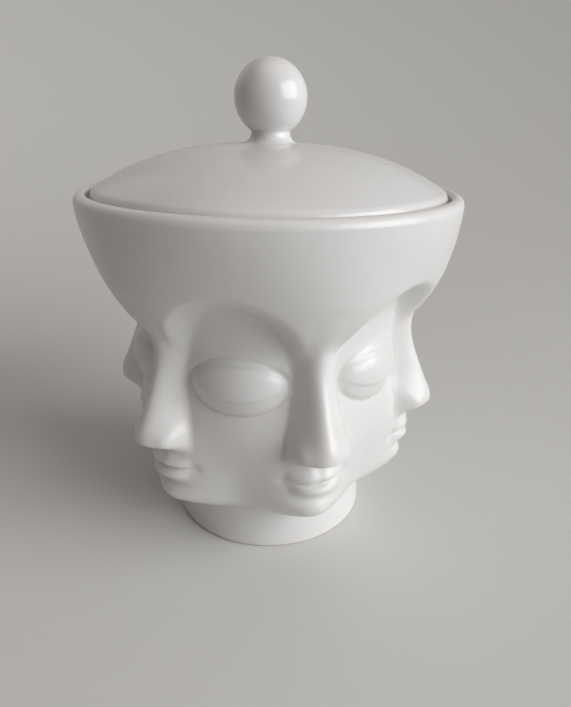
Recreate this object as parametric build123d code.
from build123d import *
import math
import os

# The jar's overall sizes in millimetres, measured from the table it stands on
rim_radius = 85.0
rim_height = 163.0
foot_radius = 49.0
foot_height = 20.6
wall = 4.6
face_count = 6

# The foot ring under the jar
foot_top_radius = 47.6
foot_edge_round = 1.6
foot_ring_width = 6.5
foot_recess = 2.4

# The rim and the ledge inside it that carries the lid
rim_band = 5.2
rim_round = 2.6
rim_inner_round = 1.0
ledge_depth = 4.4
ledge_width = 6.8
ledge_thickness = 4.2
ledge_fall = 7.0

# The lid, a dome with a fat round edge and a locating flange
lid_gap = 1.8
lid_edge = 6.0
lid_edge_round = 4.2
lid_edge_under_round = 2.2
lid_edge_slope = 31.0
lid_rise = 19.1
lid_wall = 4.4
flange_gap = 0.7
flange_width = 3.6
flange_depth = 7.0

# The ball knob on its short neck
knob_radius = 15.7
knob_centre_above_seat = 18.0
knob_neck_radius = 9.1
knob_neck_height = 4.6
knob_joint_radius = 10.5
knob_seat_radius = 13.5

# The nose of each face, measured from the face's midline
wing_offset = 9.4
wing_half_width = 3.3
wing_half_height = 4.6
wing_projection = 2.7
nose_base_rise = 2.6
nose_base_drop = 5.0
nose_tip_fullness = 0.35

# The arched brow between two noses
arch_half_width = 28.5
arch_rise = 38.0
brow_inside_blend = 6.0
brow_outside_blend = 2.2
brow_softness = 3.0

# The eye that two neighbouring faces share
eye_half_width = 22.5
eye_half_height = 12.5
eye_projection = 6.0

# The mouth, chin and jaw
muzzle_half_width = 15.5
muzzle_projection = 5.4
lip_half_width = 13.0
lip_half_height = 3.0
lip_offset = 3.4
lip_projection = 2.8
lip_crease_depth = 1.7
lip_crease_half_height = 3.2
chin_half_width = 11.5
chin_half_height = 7.0
chin_projection = 3.8
cheek_hollow = 4.2
cheek_hollow_half_width = 15.0
jaw_round = 10.0
jaw_lift = 2.6

# Heights on a head, as shares of the way from the chin line up to the rim
chin_share = 0.07
lip_crease_share = 0.138
mouth_share = 0.202
nose_base_share = 0.30
nose_tip_share = 0.32
eye_share = 0.50
arch_spring_share = 0.515
ring_top_share = 0.86

# Where half a face's width is measured, as a share of the rim's radius
cheek_share = 0.7724

# Outlines seen from the side: share of the head's height, share of the rim's radius
crown_shares = [
    (0.473, 0.701), (0.522, 0.708), (0.572, 0.734), (0.628, 0.784), (0.684, 0.840),
    (0.768, 0.911), (0.852, 0.958), (0.923, 0.985), (0.982, 0.999), (1.000, 1.000),
]
pillar_shares = [
    (0.572, 0.000), (0.642, 0.020), (0.698, 0.033), (0.740, 0.032), (0.782, 0.023), (0.820, 0.009),
    (0.860, 0.000),
]
nose_shares = [
    (0.263, 0.922), (0.291, 0.937), (0.319, 0.946), (0.347, 0.941), (0.389, 0.913), (0.445, 0.873),
    (0.501, 0.835), (0.544, 0.814), (0.586, 0.807), (0.628, 0.819), (0.684, 0.864), (0.740, 0.908),
]
skin_shares = [
    (0.000, 0.641), (0.038, 0.689), (0.080, 0.718), (0.136, 0.737), (0.207, 0.746), (0.291, 0.752),
    (0.375, 0.744), (0.445, 0.725), (0.501, 0.713), (0.558, 0.708), (0.614, 0.713), (0.670, 0.730),
    (0.726, 0.768), (0.782, 0.832), (0.824, 0.884),
]

# How far the nose spreads: share of the head's height, share of half a face's width
nose_spread_shares = [
    (0.263, 0.449), (0.319, 0.435), (0.375, 0.394), (0.445, 0.348), (0.515, 0.325),
    (0.572, 0.359), (0.628, 0.449), (0.684, 0.609), (0.740, 0.812),
]

# Where the ring of faces is measured, across half a face and up the head
column_shares = [0.0, 0.065, 0.13, 0.2, 0.28, 0.37, 0.49, 0.64, 0.82, 1.0]
level_shares = [
    0.004, 0.013, 0.027, 0.046, 0.073, 0.105, 0.136, 0.164, 0.182, 0.202, 0.223, 0.245, 0.268,
    0.287, 0.305, 0.326, 0.354, 0.390, 0.438, 0.484, 0.526, 0.568, 0.610, 0.648, 0.684, 0.718,
    0.748, 0.774, 0.800, 0.830,
]
crown_level_shares = [0.92]
inside_level_shares = [0.36, 0.50, 0.60, 0.67, 0.73, 0.79, 0.84]
dome_point_shares = [0.79, 0.56, 0.34]

# Sizes worked out from the ones above
head_height = rim_height - foot_height
half_turn = math.pi / face_count
half_face = cheek_share * rim_radius * half_turn
ledge_height = rim_height - ledge_depth
rim_inner_radius = rim_radius - rim_band
ledge_inner_radius = rim_inner_radius - ledge_width
lid_radius = rim_inner_radius - lid_gap
lid_edge_top = ledge_height + lid_edge
lid_top = rim_height + lid_rise
dome_lean = math.radians(lid_edge_slope)
dome_radius = lid_radius - lid_edge_round * (1 - math.sin(dome_lean))
dome_power = math.tan(dome_lean) * dome_radius / (lid_top - lid_edge_top)
flange_outer_radius = ledge_inner_radius - flange_gap
flange_inner_radius = flange_outer_radius - flange_width
flange_bottom = ledge_height - flange_depth


def level(share):
    return foot_height + share * head_height


def step(low, high, value):
    """A smooth climb from 0 to 1 between two values."""
    t = min(max((value - low) / (high - low), 0), 1)
    return t * t * (3 - 2 * t)


def bump(distance, size):
    """A smooth swelling, 1 at its middle."""
    return math.exp(-((distance / size) ** 2))


def blend(first, second, softness):
    """The higher of two values, eased where they meet."""
    t = min(max((1 + (first - second) / softness) / 2, 0), 1)
    return second + (first - second) * t + softness * t * (1 - t) / 2


def along(table, share):
    """The smooth curve through a table of shares."""
    last = len(table) - 1
    share = min(max(share, table[0][0]), table[last][0])
    i = 0
    while i < last - 1 and share > table[i + 1][0]:
        i += 1
    slopes = []
    for k in (i, i + 1):
        before = table[max(k - 1, 0)]
        after = table[min(k + 1, last)]
        slopes.append((after[1] - before[1]) / (after[0] - before[0]))
    span = table[i + 1][0] - table[i][0]
    t = (share - table[i][0]) / span
    start = (1 + 2 * t) * (1 - t) ** 2 * table[i][1] + t * (1 - t) ** 2 * span * slopes[0]
    return start + t * t * (3 - 2 * t) * table[i + 1][1] - t * t * (1 - t) * span * slopes[1]


def crown_radius(height):
    return along(crown_shares, (height - foot_height) / head_height) * rim_radius


def pillar_radius(aside, height):
    """The crown's radius where the noses run up into it as soft pillars."""
    share = (height - foot_height) / head_height
    stand = along(pillar_shares, share) * rim_radius
    return crown_radius(height) + stand * (1 - step(0, half_face, aside))


def brow_cover(aside, height):
    """How much of the crown's overhang is left at a point: 0 inside an arch, 1 outside it."""
    across = (half_face - aside) / arch_half_width
    rise = max(height - level(arch_spring_share), 0) / arch_rise
    inside = (1 - math.hypot(across, rise)) * arch_rise
    return 1 - step(-brow_outside_blend, brow_inside_blend, inside)


def nose_stand(aside, height, skin):
    """How far the nose stands out of the skin."""
    share = (height - foot_height) / head_height
    spread = along(nose_spread_shares, share) * half_face
    t = min(aside / spread, 1)
    tip = bump(height - level(nose_tip_share), wing_offset) * nose_tip_fullness
    form = (1 - t * t) ** 2 * (1 - tip) + (1 - t ** 4) ** 2 * tip
    base = level(nose_base_share)
    above = step(base - nose_base_drop, base + nose_base_rise, height)
    return (along(nose_shares, share) * rim_radius - skin) * form * above


def mouth_and_chin(aside, height, nose):
    """What the muzzle, the lips and the chin add."""
    base = level(nose_base_share)
    muzzle = step(foot_height, level(lip_crease_share), height) * step(level(eye_share), base, height)
    muzzle *= bump(aside, muzzle_half_width) * max(1 - nose / muzzle_half_width, 0)
    chin = bump(aside, chin_half_width) * bump(height - level(chin_share), chin_half_height)
    crease = bump(aside, lip_half_width) * bump(height - level(lip_crease_share), lip_crease_half_height)
    added = muzzle_projection * muzzle + chin_projection * chin - lip_crease_depth * crease
    corner = max(1 - (aside / lip_half_width) ** 2, 0)
    for side in (-1, 1):
        lip = bump(height - level(mouth_share) - side * lip_offset, lip_half_height)
        added += lip_projection * corner * lip
    return added


def relief(aside, height):
    """The skin's radius at a distance from a face's midline and a height."""
    share = (height - foot_height) / head_height
    base = level(nose_base_share)
    hollow = step(base + wing_offset, level(chin_share), height)
    hollow *= bump(half_face - aside, cheek_hollow_half_width)
    skin = along(skin_shares, share) * rim_radius - cheek_hollow * hollow
    nose = nose_stand(aside, height, skin)
    crown = pillar_radius(aside, height)
    brow = (crown - skin) * brow_cover(aside, height)
    raised = blend(nose, brow, brow_softness) if height > level(arch_spring_share) else max(nose, brow)
    radius = skin + raised + mouth_and_chin(aside, height, nose)

    wing_height = base + wing_half_height
    above = step(base - nose_base_drop, base, height)
    wing = bump(aside - wing_offset, wing_half_width) * bump(height - wing_height, wing_half_height)
    radius += wing_projection * wing * above

    across = (half_face - aside) / eye_half_width
    up = (height - level(eye_share)) / eye_half_height
    ball = max(1 - across ** 2 - up ** 2, 0)
    lid = skin + eye_projection * math.sqrt(ball)
    if ball > 0:
        radius = blend(radius, lid, brow_softness)

    arch_top = level(arch_spring_share) + arch_rise
    whole = step(arch_top, arch_top + brow_inside_blend, height)
    return radius * (1 - whole) + crown * whole


def skin_radius(aside, height):
    """The relief, drawn in under the jaw to meet the foot."""
    start = foot_height + jaw_lift * step(chin_half_width, half_face, aside)
    t = min(max((height - start) / jaw_round, 0), 1)
    closing = math.sqrt(1 - (1 - t) ** 2)
    return foot_top_radius + (relief(aside, height) - foot_top_radius) * closing


def on_jar(radius, angle, height):
    """A point of the jar's surface, with angle 0 on the midline of the front face."""
    return (radius * math.sin(angle), -radius * math.cos(angle), height)


def ring_angles():
    """The turns of all the columns round the jar, each face mirrored about its midline."""
    half = [share * half_turn for share in column_shares]
    face = [-angle for angle in reversed(half[1:])] + half[:-1]
    return [2 * half_turn * k + angle for k in range(face_count) for angle in face]


def round_section(radius, height):
    """A circle in as many arcs as a sculpted section has sides."""
    angles = ring_angles()
    arcs = []
    for start, end in zip(angles, angles[1:] + [angles[0] + 2 * math.pi]):
        places = [on_jar(radius, angle, height) for angle in (start, (start + end) / 2, end)]
        arcs.append(Edge.make_three_point_arc(*places))
    return Wire(arcs)


def face_section(height):
    """The outline of all the faces at one height."""
    half = [skin_radius(share * half_face, height) for share in column_shares]
    face = half[:0:-1] + half[:-1]
    corners = [on_jar(radius, angle, height) for radius, angle in zip(face * face_count, ring_angles())]
    return Wire.make_polygon(corners, close=True)


def make_face_ring():
    """The ring of faces, from the foot to the round crown."""
    top = level(ring_top_share)
    sections = [round_section(foot_top_radius, foot_height)]
    sections += [face_section(level(share)) for share in level_shares]
    sections.append(round_section(crown_radius(top), top))
    return Solid.make_loft(sections, ruled=True)


def turned(*edges):
    """A solid of revolution from a closed outline drawn in the XZ plane."""
    return revolve(make_face(Wire(list(edges))), Axis.Z)


def chain(points):
    """Straight edges from point to point in the XZ plane."""
    places = [(x, 0, z) for x, z in points]
    return [Edge.make_line(a, b) for a, b in zip(places, places[1:])]


def make_crown():
    """The flared crown and its thin round lip."""
    low = level(ring_top_share)
    bottom = crown_radius(low)
    below = level(level_shares[-1])
    lip = rim_height - rim_round
    inside = ledge_inner_radius - wall
    places = [(bottom, 0, low)]
    places += [(crown_radius(level(share)), 0, level(share)) for share in crown_level_shares]
    places.append((rim_radius, 0, lip))
    flare = Edge.make_spline(places, tangents=[(bottom - crown_radius(below), 0, low - below), (0, 0, 1)])
    rounding = Edge.make_tangent_arc(
        (rim_radius, 0, lip), (0, 0, 1), (rim_radius - rim_round, 0, rim_height)
    )
    rest = chain([(rim_radius - rim_round, rim_height), (inside, rim_height), (inside, low), (bottom, low)])
    return turned(flare, rounding, *rest)


def make_foot():
    """The low round foot, eased at its lower edge."""
    slope = (foot_radius - foot_top_radius) / foot_height
    easing = foot_radius - slope * foot_edge_round
    ease = Edge.make_tangent_arc(
        (foot_radius - foot_edge_round, 0, 0), (1, 0, 0), (easing, 0, foot_edge_round)
    )
    sides = chain([
        (easing, foot_edge_round), (foot_top_radius, foot_height), (0, foot_height), (0, 0),
        (foot_radius - foot_edge_round, 0),
    ])
    return turned(ease, *sides)


def inner_radius(height):
    """The inside of the wall, one wall away from the relief all round it."""
    reached = []
    for share in (-1, -0.5, 0, 0.5, 1):
        inset = wall * math.sqrt(1 - share * share)
        nearest = min(skin_radius(column * half_face, height + share * wall) for column in column_shares)
        reached.append(nearest - inset)
    return min(reached)


def make_inside():
    """The hollow of the jar with the lid's ledge, as one turned form."""
    floor = foot_recess + wall
    well = foot_top_radius - wall
    well_top = foot_height - wall / 2
    jaw = foot_height + jaw_round + wall
    under_ledge = ledge_height - ledge_thickness
    below = under_ledge - ledge_fall
    below_radius = crown_radius(below) - wall
    places = [(inner_radius(jaw), 0, jaw)]
    places += [(inner_radius(level(share)), 0, level(share)) for share in inside_level_shares]
    places.append((below_radius, 0, below))
    side = Edge.make_spline(places)
    lead = side.tangent_at(0)
    jaw_curve = Edge.make_spline(
        [(well, 0, well_top), (places[0][0], 0, jaw)], tangents=[(0, 0, 1), (lead.X, 0, lead.Z)]
    )
    inner_lip = Edge.make_tangent_arc(
        (rim_inner_radius, 0, rim_height - rim_inner_round), (0, 0, 1),
        (rim_inner_radius + rim_inner_round, 0, rim_height),
    )
    corner = Edge.make_tangent_arc((well - wall, 0, floor), (1, 0, 0), (well, 0, floor + wall))
    base = chain([(0, floor), (well - wall, floor)])
    shaft = chain([(well, floor + wall), (well, well_top)])
    ledge = chain([
        (below_radius, below), (ledge_inner_radius, under_ledge), (ledge_inner_radius, ledge_height),
        (rim_inner_radius, ledge_height), (rim_inner_radius, rim_height - rim_inner_round),
    ])
    close = chain([(rim_inner_radius + rim_inner_round, rim_height), (0, rim_height), (0, floor)])
    return turned(*base, corner, *shaft, jaw_curve, side, *ledge, inner_lip, *close)


def make_vessel():
    """The slip-cast jar: foot, faces, crown and rim in one wall."""
    body = make_face_ring() + make_crown() + make_foot()
    recess = Cylinder(
        foot_radius - foot_ring_width, foot_recess, align=(Align.CENTER, Align.CENTER, Align.MIN)
    )
    return body - make_inside() - recess


def dome_height(radius):
    """The lid's outer dome, flat on top and steeper towards its edge."""
    return lid_edge_top + (lid_top - lid_edge_top) * (1 - (radius / dome_radius) ** dome_power)


def make_lid():
    """The dome with its round edge, hollow underneath, and the flange that keeps it central."""
    slope = math.tan(dome_lean)
    places = [(dome_radius, 0, lid_edge_top)]
    places += [(dome_radius * share, 0, dome_height(dome_radius * share)) for share in dome_point_shares]
    places.append((knob_seat_radius, 0, lid_top))
    dome = Edge.make_spline(places, tangents=[(-1, 0, slope), (-1, 0, 0)])
    side_foot = ledge_height + lid_edge_under_round
    side_top = lid_edge_top - lid_edge_round * math.cos(dome_lean)
    upper_round = Edge.make_tangent_arc((lid_radius, 0, side_top), (0, 0, 1), (dome_radius, 0, lid_edge_top))
    under_edge = lid_radius - lid_edge_under_round
    lower_round = Edge.make_tangent_arc((under_edge, 0, ledge_height), (1, 0, 0), (lid_radius, 0, side_foot))
    side = chain([(lid_radius, side_foot), (lid_radius, side_top)]) if side_top > side_foot else []
    seat = chain([(knob_seat_radius, lid_top), (0, lid_top), (0, lid_top - lid_wall)])
    under_start = dome_height(flange_inner_radius) - lid_wall
    hollow = [(0, 0, lid_top - lid_wall)]
    for share in reversed(dome_point_shares[:-1]):
        hollow.append(((dome_radius - lid_wall) * share, 0, dome_height(dome_radius * share) - lid_wall))
    hollow.append((flange_inner_radius, 0, under_start))
    under = Edge.make_spline(hollow, tangents=[(1, 0, 0), (1, 0, -slope)])
    flange = chain([
        (flange_inner_radius, under_start), (flange_inner_radius, flange_bottom),
        (flange_outer_radius, flange_bottom), (flange_outer_radius, ledge_height), (under_edge, ledge_height),
    ])
    return turned(*seat, under, *flange, lower_round, *side, upper_round, dome)


def make_knob():
    """A ball on a narrow neck that flares out to meet the lid."""
    centre = lid_top + knob_centre_above_seat
    joint = centre - math.sqrt(knob_radius ** 2 - knob_joint_radius ** 2)
    narrow = (knob_neck_radius, 0, lid_top + knob_neck_height)
    flare = Edge.make_spline([(knob_seat_radius, 0, lid_top), narrow], tangents=[(-1, 0, 0), (0, 0, 1)])
    blending = Edge.make_spline(
        [narrow, (knob_joint_radius, 0, joint)], tangents=[(0, 0, 1), (centre - joint, 0, knob_joint_radius)]
    )
    ball = Edge.make_three_point_arc(
        (knob_joint_radius, 0, joint), (knob_radius, 0, centre), (0, 0, centre + knob_radius)
    )
    core = chain([(0, centre + knob_radius), (0, lid_top), (knob_seat_radius, lid_top)])
    return turned(flare, blending, ball, *core)


os.makedirs("parts", exist_ok=True)
export_step(make_vessel(), "parts/vessel.step")
export_step(make_lid(), "parts/lid.step")
export_step(make_knob(), "parts/knob.step")
